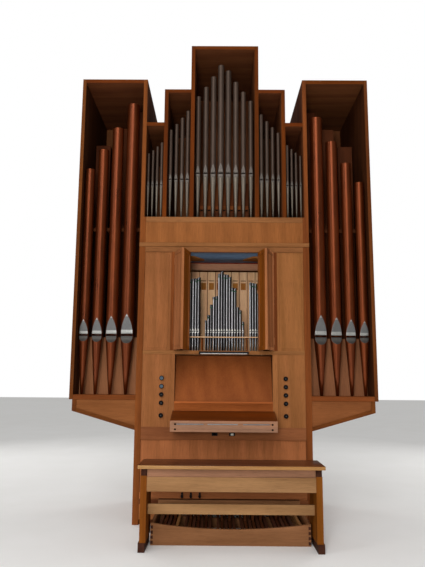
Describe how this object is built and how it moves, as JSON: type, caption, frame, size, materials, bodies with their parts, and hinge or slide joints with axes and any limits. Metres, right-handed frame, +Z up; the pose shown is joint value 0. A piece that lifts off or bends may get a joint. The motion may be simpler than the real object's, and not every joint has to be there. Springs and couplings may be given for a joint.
{
  "type": "pipe organ",
  "caption": "Free-standing church pipe organ with stepped case, side towers on brackets, folding doors, console with draw knobs, pedalboard and bench.",
  "frame": {"origin": "on the floor under the middle of the main case's footprint", "axes": "+Z up, +Y towards the back of the case, +X to the right of the player who faces the case"},
  "size_m": [2.788, 2.035, 4.529],
  "materials": {
    "oak": "satin varnish",
    "dark_oak": "satin varnish",
    "pale_wood": "matt",
    "tin": "satin",
    "bright_tin": "polished",
    "copper": "polished copper, darkened",
    "chrome": "polished",
    "fittings": "satin",
    "black_knob": "glossy black",
    "painted_ceiling": "matt paint"
  },
  "bodies": {
    "case": {"base_frame": "dark_oak", "case_walls": "oak", "roofs": "oak", "back_boards": "oak", "tower_walls": "oak", "tower_floors": "dark_oak", "tower_brackets": "oak", "tower_chests": "oak", "tower_racks": "dark_oak", "bass_pipes": "dark_oak", "front_posts": "dark_oak", "front_rails": "oak", "fascia": "oak", "side_panels": "oak", "console_panels": "oak", "knee_panel": "oak", "great_chest": "dark_oak", "tin_pipes_centre": "tin", "tin_pipes_sides": "tin", "copper_pipes_left": "copper", "copper_pipes_right": "copper", "copper_lips": "bright_tin", "cupboard_sides": "pale_wood", "cupboard_ceiling": "painted_ceiling", "cupboard_chest": "pale_wood", "wooden_pipes": "pale_wood", "small_pipes": "bright_tin", "folding_doors": "oak", "music_desk": "dark_oak", "desk_lamp": "chrome", "key_desk": "dark_oak", "key_cover": "dark_oak", "console_fittings": "fittings", "pedal_frame": "oak", "pedal_naturals": "pale_wood", "pedal_sharps": "dark_oak", "bench_seat": "oak", "bench_sides": "oak", "bench_rails": "oak"},
    "knob_left_1": {"knob_left_1": "black_knob"},
    "knob_left_2": {"knob_left_2": "black_knob"},
    "knob_left_3": {"knob_left_3": "black_knob"},
    "knob_left_4": {"knob_left_4": "black_knob"},
    "knob_left_5": {"knob_left_5": "black_knob"},
    "knob_right_1": {"knob_right_1": "black_knob"},
    "knob_right_2": {"knob_right_2": "black_knob"},
    "knob_right_3": {"knob_right_3": "black_knob"},
    "knob_right_4": {"knob_right_4": "black_knob"},
    "knob_right_5": {"knob_right_5": "black_knob"}
  },
  "joints": [
    {"name": "draw_left_1", "type": "slide", "parent": "case", "child": "knob_left_1", "axis": [0, -1, 0], "range_m": [0, 0.028]},
    {"name": "draw_left_2", "type": "slide", "parent": "case", "child": "knob_left_2", "axis": [0, -1, 0], "range_m": [0, 0.028]},
    {"name": "draw_left_3", "type": "slide", "parent": "case", "child": "knob_left_3", "axis": [0, -1, 0], "range_m": [0, 0.028]},
    {"name": "draw_left_4", "type": "slide", "parent": "case", "child": "knob_left_4", "axis": [0, -1, 0], "range_m": [0, 0.028]},
    {"name": "draw_left_5", "type": "slide", "parent": "case", "child": "knob_left_5", "axis": [0, -1, 0], "range_m": [0, 0.028]},
    {"name": "draw_right_1", "type": "slide", "parent": "case", "child": "knob_right_1", "axis": [0, -1, 0], "range_m": [0, 0.028]},
    {"name": "draw_right_2", "type": "slide", "parent": "case", "child": "knob_right_2", "axis": [0, -1, 0], "range_m": [0, 0.028]},
    {"name": "draw_right_3", "type": "slide", "parent": "case", "child": "knob_right_3", "axis": [0, -1, 0], "range_m": [0, 0.028]},
    {"name": "draw_right_4", "type": "slide", "parent": "case", "child": "knob_right_4", "axis": [0, -1, 0], "range_m": [0, 0.028]},
    {"name": "draw_right_5", "type": "slide", "parent": "case", "child": "knob_right_5", "axis": [0, -1, 0], "range_m": [0, 0.028]}
  ]
}
